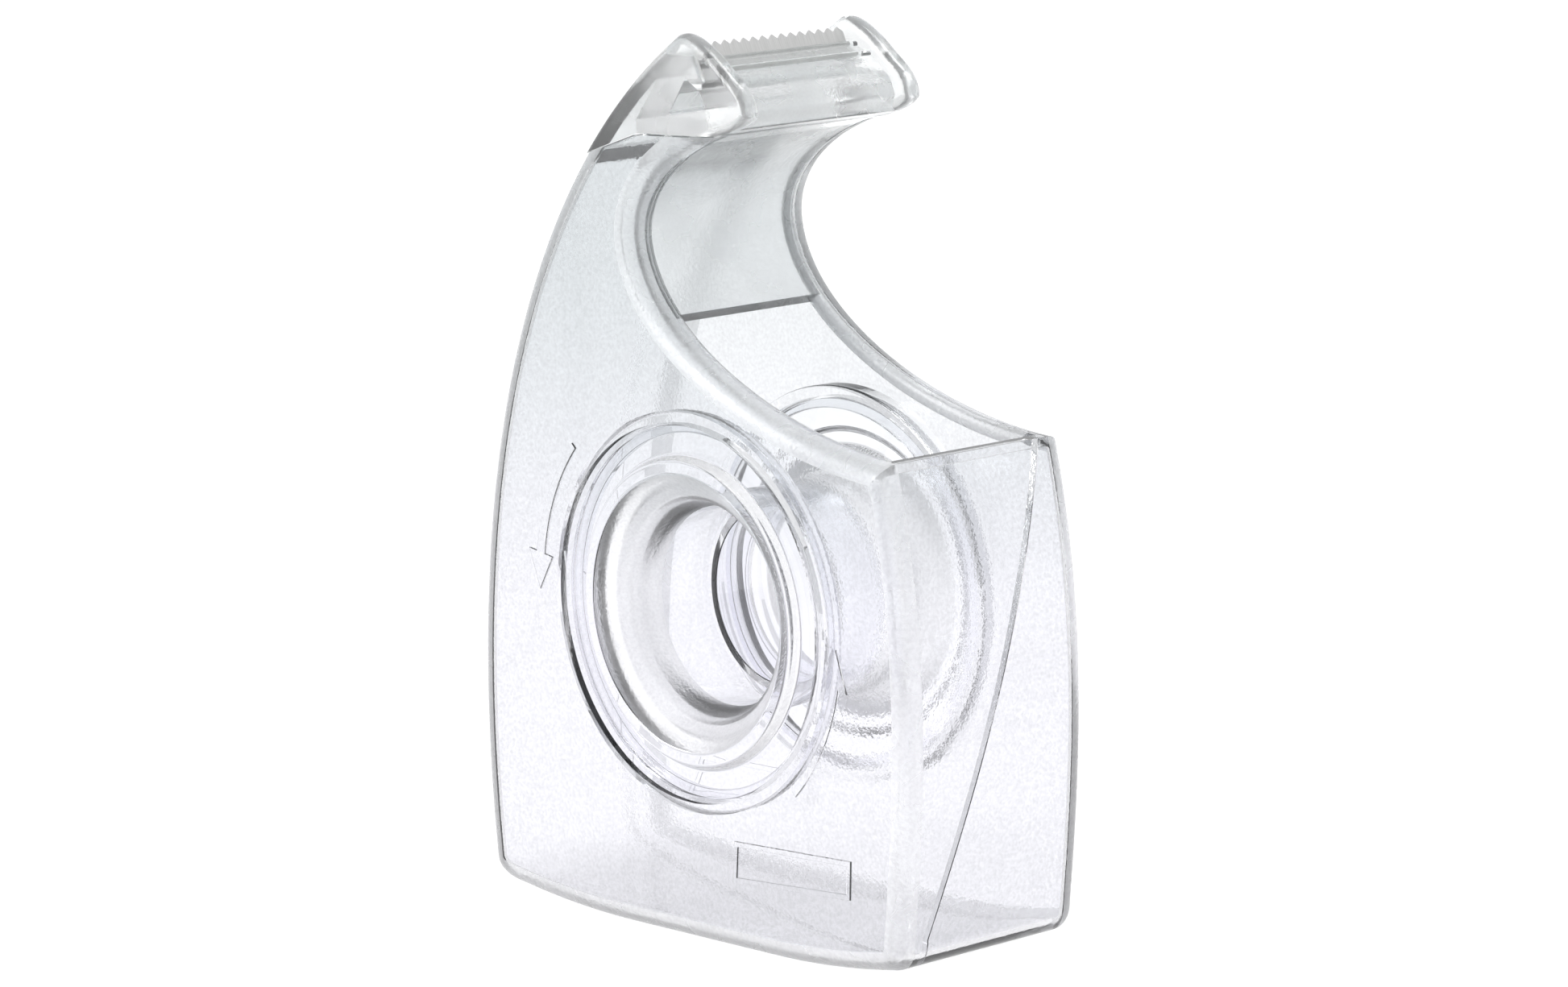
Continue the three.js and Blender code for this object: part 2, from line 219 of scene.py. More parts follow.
def inset(points, distance):
    moved = []
    for i, (x, z) in enumerate(points):
        before, after = Vector(points[i - 1]), Vector(points[(i + 1) % len(points)])
        here = Vector((x, z))
        first, second = (here - before).normalized(), (after - here).normalized()
        bisector = Vector((-first.y - second.y, first.x + second.x))
        moved.append(here + bisector * (2 * distance / bisector.length_squared))
    if distance > 0.3:
        # where the outline turns tighter than the inset, the folded points gather on the last good one
        sound = [clearance(p, points, i) > 0.97 * distance for i, p in enumerate(moved)]
        for i in range(2 * len(moved)):
            if not sound[i % len(moved)] and sound[i % len(moved) - 1]:
                moved[i % len(moved)] = moved[i % len(moved) - 1]
                sound[i % len(moved)] = True
    return [tuple(p) for p in moved]


def filleted(corners, steps=8):
    # corners are (x, y, radius): each corner with a radius becomes an arc
    points = []
    for i, (x, y, radius) in enumerate(corners):
        here = Vector((x, y))
        if radius == 0:
            points.append(tuple(here))
            continue
        toBefore = (Vector(corners[i - 1][:2]) - here)
        toAfter = (Vector(corners[(i + 1) % len(corners)][:2]) - here)
        room = 0.49 * min(toBefore.length, toAfter.length)
        toBefore.normalize()
        toAfter.normalize()
        half = toBefore.angle(toAfter) / 2
        setback = min(radius / math.tan(half), room)
        start, end = here + toBefore * setback, here + toAfter * setback
        points += quadratic(tuple(start), tuple(here), tuple(end), steps)
    return points


o = outline
crown = (0.9, o["headRise"] - 0.6)
chin = (6.8, o["throatRise"] + 12.2)
throat = (-o["throatBack"], o["throatRise"])
mouthCorner = (o["frontReach"] - 3.1, o["mouthRise"])
heel = (0.5 - o["backReach"], 4.5 - o["hubHeight"])
toe = (o["frontReach"] - 2.5, 5.0 - o["hubHeight"])
floorLine = -o["hubHeight"]

backCurve = cubic(crown, (-25.9, o["headRise"] - 16.9), (-o["backReach"] - 3.4, 13.1), heel, 2 * o["steps"])
heelSoft = (5.3 - o["backReach"], floorLine + 1.4)
toeSoft = (o["frontReach"] - 5.5, floorLine + 1.5)
footBack, footFront = (-o["footHalf"], floorLine), (o["footHalf"], floorLine)
base = joined(
    quadratic(heel, (0.7 - o["backReach"], floorLine + 1.7), heelSoft, o["cornerSteps"]),
    quadratic(heelSoft, (-o["footHalf"] - 10, floorLine), footBack, o["cornerSteps"]),
    quadratic(footFront, (o["footHalf"] + 9, floorLine), toeSoft, o["cornerSteps"]),
    quadratic(toeSoft, (o["frontReach"] - 2.7, floorLine + 1.7), toe, o["cornerSteps"]),
)
frontCurve = cubic(toe, (o["frontReach"], -14.4), (o["frontReach"] + 1.2, 1.4), mouthCorner, o["steps"])
mouthCurve = cubic(mouthCorner, (13.6, o["mouthRise"] + 1.3),
                   (0.9 - o["throatBack"], o["throatRise"] - 10.7), throat, o["steps"])
thumbCurve = cubic(throat, (-o["throatBack"] - 0.3, o["throatRise"] + 5.2),
                   (-1.7, chin[1] - 2.5), chin, o["steps"])
shellOutline = joined(backCurve, base, frontCurve, mouthCurve, thumbCurve,
                      [(chin[0] + 9, chin[1] + 2.4), (chin[0] + 9, crown[1])])
headTip = (o["headReach"], o["throatRise"] + 14.7)
headOutline = joined(
    backCurve,
    thumbCurve,
    quadratic(chin, (o["headReach"] - 0.6, chin[1] + 1.2), headTip, o["tipSteps"]),
    quadratic(headTip, (o["headReach"] + 0.1, headTip[1] + 2.1),
              (o["headReach"] - 2.1, headTip[1] + 3.8), o["tipSteps"]),
    quadratic((7.2, o["headRise"] - 2.3), (2.6, o["headRise"] + 0.9), crown, o["cornerSteps"]),
)


def inPlace(u, y, v):
    return (hubAxis.x + u * mm, y * mm, hubAxis.z + v * mm)


def newObject(name, vertices, faces, materials=(), faceMaterials=None):
    mesh = bpy.data.meshes.new(name)
    mesh.from_pydata(vertices, [], faces)
    for material in materials:
        mesh.materials.append(material)
    if faceMaterials:
        mesh.polygons.foreach_set("material_index", faceMaterials)
    mesh.update()
    thing = bpy.data.objects.new(name, mesh)
    bpy.context.scene.collection.objects.link(thing)
    faceOutwards(thing)
    return thing


def faceOutwards(thing):
    work = bmesh.new()
    work.from_mesh(thing.data)
    bmesh.ops.remove_doubles(work, verts=work.verts, dist=1e-6)
    bmesh.ops.recalc_face_normals(work, faces=work.faces)
    work.to_mesh(thing.data)
    work.free()


def slab(name, points, rings, materials, index=0, edgeIndex=None):
    # a side outline stacked across the width: rings are (inset, y),
    # and the rounded rings may have their own finish
    vertices, faces = [], []
    count = len(points)
    for distance, y in rings:
        vertices += [inPlace(u, y, v) for u, v in inset(points, distance)]
    finish = []
    for ring in range(len(rings) - 1):
        a, b = ring * count, (ring + 1) * count
        faces += [(a + i, a + (i + 1) % count, b + (i + 1) % count, b + i) for i in range(count)]
        rounded = edgeIndex is not None and rings[ring][0] != rings[ring + 1][0]
        finish += [edgeIndex if rounded else index] * count
    faces.append(tuple(range(count)))
    faces.append(tuple(range(len(vertices) - count, len(vertices))))
    return newObject(name, vertices, faces, materials, finish + [index] * 2)


def roundedRings(y0, y1, radius, steps=7):
    rings = []
    for i in range(steps + 1):
        angle = math.pi / 2 * (1 - i / steps)
        rings.append((radius * (1 - math.cos(angle)), y0 + radius - radius * math.sin(angle)))
    return rings + [(distance, y0 + y1 - y) for distance, y in reversed(rings)]


def straightRings(y0, y1):
    return [(0.0, y0), (0.0, y1)]


def prism(name, points, axis, low, high):
    # a flat outline run straight along one axis; points are in the other two axes' order
    placed = {
        "x": lambda a, b, along: (along, a, b),
        "z": lambda a, b, along: (a, b, along),
    }[axis]
    vertices = []
    for along in (low, high):
        for a, b in points:
            u, y, v = placed(a, b, along)
            vertices.append(inPlace(u, y, v))
    count = len(points)
    faces = [(i, (i + 1) % count, count + (i + 1) % count, count + i) for i in range(count)]
    faces += [tuple(range(count)), tuple(range(count, 2 * count))]
    return newObject(name, vertices, faces)


def evaluated(thing):
    graph = bpy.context.evaluated_depsgraph_get()
    mesh = bpy.data.meshes.new_from_object(thing.evaluated_get(graph))
    thing.modifiers.clear()
    thing.data = mesh
    return thing


def combine(target, tool, operation):
    modifier = target.modifiers.new("combine", "BOOLEAN")
    modifier.object = tool
    modifier.operation = operation
    modifier.solver = "MANIFOLD"
    modifier.material_mode = "TRANSFER"
    evaluated(target)
    bpy.data.objects.remove(tool)
    return target


def dropEmptySlots(thing):
    used = [material for material in thing.data.materials if material]
    thing.data.materials.clear()
    for material in used:
        thing.data.materials.append(material)
    thing.data.polygons.foreach_set("material_index", [0] * len(thing.data.polygons))


def copyOf(thing):
    twin = thing.copy()
    twin.data = thing.data.copy()
    bpy.context.scene.collection.objects.link(twin)
    return twin


def mirrorAcross(thing):
    thing.data.transform(Matrix.Scale(-1, 4, (0, 1, 0)))
    faceOutwards(thing)
    return thing


def softenShading(thing, angle=34):
    thing.data.polygons.foreach_set("use_smooth", [True] * len(thing.data.polygons))
    thing.data.set_sharp_from_angle(angle=math.radians(angle))
    modifier = thing.modifiers.new("flatter", "WEIGHTED_NORMAL")
    modifier.keep_sharp = True
    modifier.weight = 60
    return evaluated(thing)


def newMaterial(name):
    material = bpy.data.materials.new(name)
    material.use_nodes = True
    nodes, links = material.node_tree.nodes, material.node_tree.links
    return material, nodes, links, nodes["Principled BSDF"]


grainLook = {
    "tintFrom": 0.03,    # heights, in metres, between which the low tint gives way to the high one, greyer with painted shade
    "tintTo": 0.08,
    "noiseLow": 0.35,    # the part of the noise that is used
    "noiseHigh": 0.65,
    "noiseDetail": 2.0,
    # the grey of the painted shade in the grain's hollows
    "grainShadeColour": (0.6, 0.6, 0.62, 1.0),
    "depth": 0.0001,
}


def makeGrainGroup():
    group = bpy.data.node_groups.new("mouldGrain", "ShaderNodeTree")
    interface = group.interface
    for label, value in (("Grain Size", 0.25), ("Strength", 0.3), ("Grain Shade", 0.0), ("Cloud Size", 6.0),
                         ("Rough Low", 0.1), ("Rough High", 0.2)):
        interface.new_socket(name=label, in_out="INPUT", socket_type="NodeSocketFloat").default_value = value
    for label in ("Low Tint", "Shaded High Tint"):
        interface.new_socket(name=label, in_out="INPUT", socket_type="NodeSocketColor")
    interface.new_socket(name="Colour", in_out="OUTPUT", socket_type="NodeSocketColor")
    interface.new_socket(name="Roughness", in_out="OUTPUT", socket_type="NodeSocketFloat")
    interface.new_socket(name="Normal", in_out="OUTPUT", socket_type="NodeSocketVector")
    nodes, links = group.nodes, group.links
    given, result = nodes.new("NodeGroupInput"), nodes.new("NodeGroupOutput")
    coordinate = nodes.new("ShaderNodeTexCoord")

    def noise(sizeSocket):
        scale = nodes.new("ShaderNodeMath")
        scale.operation = "DIVIDE"
        scale.inputs[0].default_value = 1 / mm
        links.new(sizeSocket, scale.inputs[1])
        texture = nodes.new("ShaderNodeTexNoise")
        texture.inputs["Detail"].default_value = grainLook["noiseDetail"]
        links.new(coordinate.outputs["Object"], texture.inputs["Vector"])
        links.new(scale.outputs[0], texture.inputs["Scale"])
        return texture

    # a greyer tint with height stands in for darker surroundings seen through the plastic
    split = nodes.new("ShaderNodeSeparateXYZ")
    links.new(coordinate.outputs["Object"], split.inputs["Vector"])
    rise = nodes.new("ShaderNodeMapRange")
    rise.interpolation_type = "SMOOTHSTEP"
    rise.inputs["From Min"].default_value = grainLook["tintFrom"]
    rise.inputs["From Max"].default_value = grainLook["tintTo"]
    links.new(split.outputs["Z"], rise.inputs["Value"])
    tint = nodes.new("ShaderNodeMix")
    tint.data_type = "RGBA"
    links.new(rise.outputs["Result"], tint.inputs["Factor"])
    links.new(given.outputs["Low Tint"], tint.inputs["A"])
    links.new(given.outputs["Shaded High Tint"], tint.inputs["B"])
    grain = noise(given.outputs["Grain Size"])
    cloud = noise(given.outputs["Cloud Size"])
    bump = nodes.new("ShaderNodeBump")
    bump.inputs["Distance"].default_value = grainLook["depth"]
    links.new(given.outputs["Strength"], bump.inputs["Strength"])
    links.new(grain.outputs["Fac"], bump.inputs["Height"])
    # painted shade in each grain's hollow, a micro-shadow together with a little random tone, lets a little
    # less light through
    grainShade = nodes.new("ShaderNodeMapRange")
    grainShade.inputs["From Min"].default_value = grainLook["noiseLow"]
    grainShade.inputs["From Max"].default_value = grainLook["noiseHigh"]
    links.new(grain.outputs["Fac"], grainShade.inputs["Value"])
    weight = nodes.new("ShaderNodeMath")
    weight.operation = "MULTIPLY"
    links.new(grainShade.outputs["Result"], weight.inputs[0])
    links.new(given.outputs["Grain Shade"], weight.inputs[1])
    shadedGrain = nodes.new("ShaderNodeMix")
    shadedGrain.data_type = "RGBA"
    shadedGrain.inputs["B"].default_value = grainLook["grainShadeColour"]
    links.new(weight.outputs[0], shadedGrain.inputs["Factor"])
    links.new(tint.outputs["Result"], shadedGrain.inputs["A"])
    links.new(shadedGrain.outputs["Result"], result.inputs["Colour"])
    spread = nodes.new("ShaderNodeMapRange")
    spread.inputs["From Min"].default_value = grainLook["noiseLow"]
    spread.inputs["From Max"].default_value = grainLook["noiseHigh"]
    links.new(cloud.outputs["Fac"], spread.inputs["Value"])
    links.new(given.outputs["Rough Low"], spread.inputs["To Min"])
    links.new(given.outputs["Rough High"], spread.inputs["To Max"])
    links.new(spread.outputs["Result"], result.inputs["Roughness"])
    links.new(bump.outputs["Normal"], result.inputs["Normal"])
    return group


mouldGrain = makeGrainGroup()
plasticIor = 1.5


def makePlastic(name, tints, grainSize, strength, grainShade, cloudSize, roughLow, roughHigh, clear):
    material, nodes, links, shader = newMaterial(name)
    grain = nodes.new("ShaderNodeGroup")
    grain.node_tree = mouldGrain
    for label, value in (("Low Tint", (*tints[0], 1.0)), ("Shaded High Tint", (*tints[1], 1.0)),
                         ("Grain Size", grainSize), ("Strength", strength), ("Grain Shade", grainShade),
                         ("Cloud Size", cloudSize), ("Rough Low", roughLow), ("Rough High", roughHigh)):
        grain.inputs[label].default_value = value
    links.new(grain.outputs["Colour"], shader.inputs["Base Color"])
    links.new(grain.outputs["Roughness"], shader.inputs["Roughness"])
    links.new(grain.outputs["Normal"], shader.inputs["Normal"])
    shader.inputs["Transmission Weight"].default_value = clear
    shader.inputs["IOR"].default_value = plasticIor
    return material


# each tint is the colour low down, then the colour high up, which is greyer with painted shade standing in
# for darker surroundings seen through the plastic
frost = ((0.965, 0.965, 0.985), (0.85, 0.875, 0.885))
gloss = ((0.93, 0.93, 0.96), (0.79, 0.815, 0.825))
thick = ((0.985, 0.985, 0.99), (0.95, 0.965, 0.965))
# name, tint, grain size, grain strength, painted grain shade, cloud size, lowest and highest roughness,
# clearness
plastics = {
    "frosted": makePlastic("frostedShell", frost, 0.42, 0.15, 0.5, 9.0, 0.02, 0.05, 0.96),
    "edge": makePlastic("frostedEdge", frost, 0.42, 0.6, 0.35, 6.0, 0.22, 0.34, 0.65),
    "inside": makePlastic("polishedInside", gloss, 3.0, 0.05, 0.0, 12.0, 0.0, 0.02, 1.0),
    "hub": makePlastic("polishedHub", gloss, 4.0, 0.05, 0.0, 8.0, 0.0, 0.03, 1.0),
    "funnel": makePlastic("frostedFunnel", thick, 0.35, 0.6, 0.4, 6.0, 0.3, 0.42, 0.88),
    "head": makePlastic("clearHead", thick, 3.5, 0.25, 0.0, 5.0, 0.0, 0.06, 1.0),
    "cheek": makePlastic("softCheek", thick, 1.2, 0.3, 0.05, 5.0, 0.12, 0.22, 0.95),
    "pad": makePlastic("frostedPad", thick, 0.4, 0.6, 0.2, 5.0, 0.24, 0.34, 0.88),
    "thumb": makePlastic("thumbRest", thick, 0.42, 0.3, 0.15, 6.0, 0.2, 0.3, 0.99),
}
print("materials ready")


shell = {
    "halfWidth": 13.75,
    "wall": 1.4,
    "edgeRadius": 2.4,
    "lipWidth": 2.9,
    "gap": 0.16,
    "partingAtMouth": 10.1,
    "partingAtToe": -9.5,
    "partingAtHeel": 8.0,
    "partingAtBack": 6.3,
}
hub = {
    "tubeRadius": 12.6,
    "tubeBore": 11.4,
    "flangeRadius": 21.2,
    "flangeTop": 12.55,
    "flangeBottom": 11.15,
    "mouthRadius": 15.65,
    "lipWidth": 1.75,
    "flareStart": 9.7,
    "tubeReach": 5.7,
    "collarWall": 1.3,
    "segments": 160,
    "fitGap": 0.3,
    "ledgeWidth": 1.0,
    "ledgeThickness": 0.8,
}
far = 120.0  # well past every piece


def makeTurningTree():
    tree = bpy.data.node_groups.new("turnAboutAxis", "GeometryNodeTree")
    interface = tree.interface
    interface.new_socket(name="Section", in_out="INPUT", socket_type="NodeSocketGeometry")
    sockets = {}
    for label, kind in (("Carrier Radius", "NodeSocketFloat"), ("Segments", "NodeSocketInt"),
                        ("Axis Place", "NodeSocketVector"), ("Material", "NodeSocketMaterial")):
        sockets[label] = interface.new_socket(name=label, in_out="INPUT", socket_type=kind).identifier
    interface.new_socket(name="Geometry", in_out="OUTPUT", socket_type="NodeSocketGeometry")
    nodes, links = tree.nodes, tree.links
    given, result = nodes.new("NodeGroupInput"), nodes.new("NodeGroupOutput")
    section = nodes.new("GeometryNodeMeshToCurve")
    circle = nodes.new("GeometryNodeCurvePrimitiveCircle")
    upright = nodes.new("GeometryNodeSetCurveNormal")
    upright.mode = "Z_UP"
    sweep = nodes.new("GeometryNodeCurveToMesh")
    place = nodes.new("GeometryNodeTransform")
    place.inputs["Rotation"].default_value = (math.pi / 2, 0, 0)
    realize = nodes.new("GeometryNodeRealizeInstances")
    paint = nodes.new("GeometryNodeSetMaterial")
    links.new(given.outputs["Section"], section.inputs["Mesh"])
    links.new(given.outputs["Carrier Radius"], circle.inputs["Radius"])
    links.new(given.outputs["Segments"], circle.inputs["Resolution"])
    links.new(circle.outputs["Curve"], upright.inputs["Curve"])
    links.new(upright.outputs["Curve"], sweep.inputs["Curve"])
    links.new(section.outputs["Curve"], sweep.inputs["Profile Curve"])
    links.new(sweep.outputs["Mesh"], place.inputs["Geometry"])
    links.new(given.outputs["Axis Place"], place.inputs["Translation"])
    links.new(place.outputs["Geometry"], realize.inputs["Geometry"])
    links.new(realize.outputs["Geometry"], paint.inputs["Geometry"])
    links.new(given.outputs["Material"], paint.inputs["Material"])
    links.new(paint.outputs["Geometry"], result.inputs["Geometry"])
    return tree, sockets


turningTree, turningSockets = makeTurningTree()


def turned(name, section, material):
    # a closed section of (radius, y) turned about the hub axis
    carrier = 5.0
    mesh = bpy.data.meshes.new(name)
    mesh.from_pydata([((r - carrier) * mm, y * mm, 0) for r, y in section],
                     [(i, (i + 1) % len(section)) for i in range(len(section))], [])
    thing = bpy.data.objects.new(name, mesh)
    bpy.context.scene.collection.objects.link(thing)
    modifier = thing.modifiers.new("turn", "NODES")
    modifier.node_group = turningTree
    modifier[turningSockets["Carrier Radius"]] = carrier * mm
    modifier[turningSockets["Segments"]] = hub["segments"]
    modifier[turningSockets["Axis Place"]] = (hubAxis.x, 0.0, hubAxis.z)
    modifier[turningSockets["Material"]] = material
    evaluated(thing)
    faceOutwards(thing)
    return thing


def leftZone(shift):
    # everything on the left of the parting line
    p = shell
    toeX, heelX = o["frontReach"] - 5, heel[0] + 2
    front = prism("zoneFront", [
        (-far, -far), (p["partingAtToe"] + shift, -far), (p["partingAtToe"] + shift, toe[1]),
        (p["partingAtMouth"] + shift, mouthCorner[1] + 0.5), (p["partingAtMouth"] + shift, far), (-far, far),
    ], "x", toeX, far)
    bottom = prism("zoneBottom", [
        (-far, -far), (toeX + 0.02, -far), (toeX + 0.02, p["partingAtToe"] + shift),
        (heelX, p["partingAtHeel"] + shift), (-far, p["partingAtHeel"] + shift),
    ], "z", -far, heel[1])
    behind = prism("zoneBack", [
        (-far, heel[1] - 0.02), (p["partingAtHeel"] + shift, heel[1] - 0.02),
        (p["partingAtBack"] + shift, mouthCorner[1]), (p["partingAtBack"] + shift, far), (-far, far),
    ], "x", -far, toeX + 0.02)
    combine(front, bottom, "UNION")
    return combine(front, behind, "UNION")


def headZone(shift):
    front = chin[0] - 0.4 + shift
    rise = o["throatRise"]
    return slab("headZone", [
        (-far, rise + 9.0 + shift), (-15.5, rise + 9.0 + shift), (-5.6, rise + 12.0 + shift),
        (front, rise + 12.2 + shift), (front, rise + 4), (far, rise + 4), (far, far), (-far, far),
    ], straightRings(-far, far), [plastics["inside"]])


def mouthOpening():
    start = shellOutline.index(mouthCorner) + 1
    inner = inset(shellOutline, shell["wall"] + 0.5)[start:start + 2 * o["steps"]]
    frontInside = o["frontReach"] - 3.1 - shell["wall"]
    points = [(frontInside, inner[0][1])] + [p for p in inner if p[0] < frontInside - 0.5]
    points += [(chin[0], o["throatRise"] + 16), (frontInside, o["throatRise"] + 16)]
    half = shell["halfWidth"] - shell["lipWidth"]
    return slab("mouthOpening", points, straightRings(-half, half), [plastics["frosted"]])


def seatHole():
    radius = hub["flangeRadius"] + hub["fitGap"]
    turns = [2 * math.pi * i / hub["segments"] for i in range(hub["segments"])]
    circle = [(radius * math.cos(t), radius * math.sin(t)) for t in turns]
    return slab("seatHole", circle, straightRings(hub["flangeBottom"] - hub["fitGap"], 20.0),
                [plastics["inside"]])


def seatRing():
    inner = hub["flangeRadius"] + hub["fitGap"]
    outer = inner + hub["collarWall"]
    ledge = hub["flangeRadius"] - hub["ledgeWidth"]
    low = hub["flangeBottom"] - hub["fitGap"] - hub["ledgeThickness"]
    top = shell["halfWidth"] - shell["wall"] + 0.2
    seat = hub["flangeBottom"] - hub["fitGap"]
    section = filleted([(ledge, low, 0.2), (outer, low, 0.5), (outer, top, 0), (inner - 0.01, top, 0),
                        (inner - 0.01, seat, 0), (ledge, seat, 0.1)])
    return turned("seatRing", section, plastics["inside"])


def makeSleeve():
    half, wall, radius = shell["halfWidth"], shell["wall"], shell["edgeRadius"]
    skins = [plastics["frosted"], plastics["inside"], plastics["edge"]]
    sleeve = slab("sleeve", shellOutline, roundedRings(-half, half, radius), skins, 0, 2)
    hollow = slab("hollow", inset(shellOutline, wall),
                  roundedRings(wall - half, half - wall, radius - wall), skins, 1)
    combine(sleeve, hollow, "DIFFERENCE")
    combine(sleeve, mouthOpening(), "DIFFERENCE")
    combine(sleeve, headZone(-shell["gap"] / 2), "DIFFERENCE")
    for side in (False, True):
        hole, ring = seatHole(), seatRing()
        if side:
            mirrorAcross(hole)
            mirrorAcross(ring)
        combine(sleeve, hole, "DIFFERENCE")
        combine(sleeve, ring, "UNION")
    return sleeve


marks = {
    "rise": 0.2,
    "arrowRadius": 25.0,
    "arrowSweep": 44.0,
    "arrowBand": 1.5,
    "arrowHead": 4.4,
    "arrowBarb": 1.4,    # in bands
    "arrowTail": 0.55,   # the tail's width as a share of the band
    "arrowSteps": 16,
    "arrowStarts": (136, -46),
    "frameRim": 0.6,
    "frameLeft": [(6.7, -29.6), (26.0, -28.6), (26.3, -24.2), (7.2, -24.8)],
    "frameRight": [(-30.6, -29.6), (-9.1, -28.0), (-8.6, -24.2), (-27.5, -24.2)],
    "beadRadius": 0.95,
    "beadSides": 24,
    "beadSkip": 2,         # outline points left out at the mouth's corner
    "beadPastThroat": 30,  # outline points that the bead runs on under the head
}


def arrowOutline(start):
    radius, band = marks["arrowRadius"], marks["arrowBand"]
    tip = start + marks["arrowSweep"]
    neck = tip - math.degrees(marks["arrowHead"] / radius)

    def polar(r, degrees):
        return (r * math.cos(math.radians(degrees)), r * math.sin(math.radians(degrees)))

    outer, inner = [], []
    steps, tail = marks["arrowSteps"], marks["arrowTail"]
    for i in range(steps + 1):
        degrees = start + (neck - start) * i / steps
        half = band / 2 * (tail + (1 - tail) * i / steps)
        outer.append(polar(radius + half, degrees))
        inner.append(polar(radius - half, degrees))
    barb = marks["arrowBarb"] * band
    point = [polar(radius + barb, neck), polar(radius, tip), polar(radius - barb, neck)]
    return outer + point + inner[::-1]


def raisedRings(side):
    face, proud = shell["halfWidth"], marks["rise"]
    rings = [(0.0, face - 0.3), (0.0, face + proud - 0.06), (0.06, face + proud)]
    return [(distance, side * y) for distance, y in rings]


def labelFrame(corners, side):
    rim = slab("labelRim", corners, raisedRings(side), [plastics["frosted"]])
    window = slab("window", inset(corners, marks["frameRim"]), straightRings(side * 10, side * 20),
                  [plastics["frosted"]])
    return combine(rim, window, "DIFFERENCE")


def makeBeadTree():
    tree = bpy.data.node_groups.new("lipBead", "GeometryNodeTree")
    interface = tree.interface
    interface.new_socket(name="Path", in_out="INPUT", socket_type="NodeSocketGeometry")
    sockets = {}
    for label, kind in (("Radius", "NodeSocketFloat"), ("Sides", "NodeSocketInt"),
                        ("Material", "NodeSocketMaterial")):
        sockets[label] = interface.new_socket(name=label, in_out="INPUT", socket_type=kind).identifier
    interface.new_socket(name="Geometry", in_out="OUTPUT", socket_type="NodeSocketGeometry")
    nodes, links = tree.nodes, tree.links
    given, result = nodes.new("NodeGroupInput"), nodes.new("NodeGroupOutput")
    path = nodes.new("GeometryNodeMeshToCurve")
    circle = nodes.new("GeometryNodeCurvePrimitiveCircle")
    sweep = nodes.new("GeometryNodeCurveToMesh")
    sweep.inputs["Fill Caps"].default_value = True
    realize = nodes.new("GeometryNodeRealizeInstances")
    paint = nodes.new("GeometryNodeSetMaterial")
    links.new(given.outputs["Path"], path.inputs["Mesh"])
    links.new(given.outputs["Radius"], circle.inputs["Radius"])
    links.new(given.outputs["Sides"], circle.inputs["Resolution"])
    links.new(path.outputs["Curve"], sweep.inputs["Curve"])
    links.new(circle.outputs["Curve"], sweep.inputs["Profile Curve"])
    links.new(sweep.outputs["Mesh"], realize.inputs["Geometry"])
    links.new(realize.outputs["Geometry"], paint.inputs["Geometry"])
    links.new(given.outputs["Material"], paint.inputs["Material"])
    links.new(paint.outputs["Geometry"], result.inputs["Geometry"])
    return tree, sockets


def lipBead(side):
    # a rounded bead along the free edge of the mouth's lip
    start = shellOutline.index(mouthCorner) + marks["beadSkip"]
    end = shellOutline.index(throat) + marks["beadPastThroat"]
    path = inset(shellOutline, marks["beadRadius"] + 0.02)[start:end]
    y = side * (shell["halfWidth"] - shell["lipWidth"])
    mesh = bpy.data.meshes.new("lipBead")
    mesh.from_pydata([inPlace(u, y, v) for u, v in path], [(i, i + 1) for i in range(len(path) - 1)], [])
    thing = bpy.data.objects.new("lipBead", mesh)
    bpy.context.scene.collection.objects.link(thing)
    modifier = thing.modifiers.new("bead", "NODES")
    modifier.node_group = beadTree
    modifier[beadSockets["Radius"]] = marks["beadRadius"] * mm
    modifier[beadSockets["Sides"]] = marks["beadSides"]
    modifier[beadSockets["Material"]] = plastics["edge"]
    evaluated(thing)
    dropEmptySlots(thing)
    faceOutwards(thing)
    return thing


beadTree, beadSockets = makeBeadTree()
sleeve = makeSleeve()
for side in (-1, 1):
    combine(sleeve, lipBead(side), "UNION")
combine(sleeve, headZone(-shell["gap"] / 2), "DIFFERENCE")
leftShell = copyOf(sleeve)
leftShell.name = "leftShell"
combine(leftShell, leftZone(-shell["gap"] / 2), "INTERSECT")
for start in marks["arrowStarts"]:
    combine(leftShell, slab("arrow", arrowOutline(start), raisedRings(-1), [plastics["frosted"]]), "UNION")
combine(leftShell, labelFrame(marks["frameLeft"], -1), "UNION")
rightShell = sleeve
rightShell.name = "rightShell"
combine(rightShell, leftZone(shell["gap"] / 2), "DIFFERENCE")
combine(rightShell, labelFrame(marks["frameRight"], 1), "UNION")
for piece, body, node in ((leftShell, "body", "left_shell"), (rightShell, "cover", "right_shell")):
    softenShading(piece)
    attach(piece, body)
    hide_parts(node)
print("shells ready:", len(leftShell.data.polygons), len(rightShell.data.polygons), "faces")


def flareSection():
    half, bore, tube = shell["halfWidth"], hub["tubeBore"], hub["tubeRadius"]
    mouth = hub["mouthRadius"]
    ringOut = mouth + hub["lipWidth"]
    return [
        (tube, hub["flareStart"], 1.0),
        (tube + 0.6, hub["flareStart"] + 1.1, 0.5),
        (tube + 2.0, hub["flangeBottom"], 0.6),
        (hub["flangeRadius"], hub["flangeBottom"], 0.15),
        (hub["flangeRadius"], hub["flangeTop"], 0.25),
        (ringOut + 0.4, hub["flangeTop"], 0.5),
        (ringOut - 0.1, half, 0.6),
        (mouth + 0.2, half, 0.5),
        (mouth - 0.8, half - 1.0, 1.0),
        (bore + 1.1, half - 3.0, 1.5),
        (bore, hub["flareStart"] - 1.8, 4.0),
    ]


def makeLeftHub():
    section = filleted(flareSection() + [(hub["tubeBore"], -hub["tubeReach"], 0.1),
                                         (hub["tubeRadius"], -hub["tubeReach"], 0.1)])
    return mirrorAcross(turned("leftHub", section, plastics["hub"]))


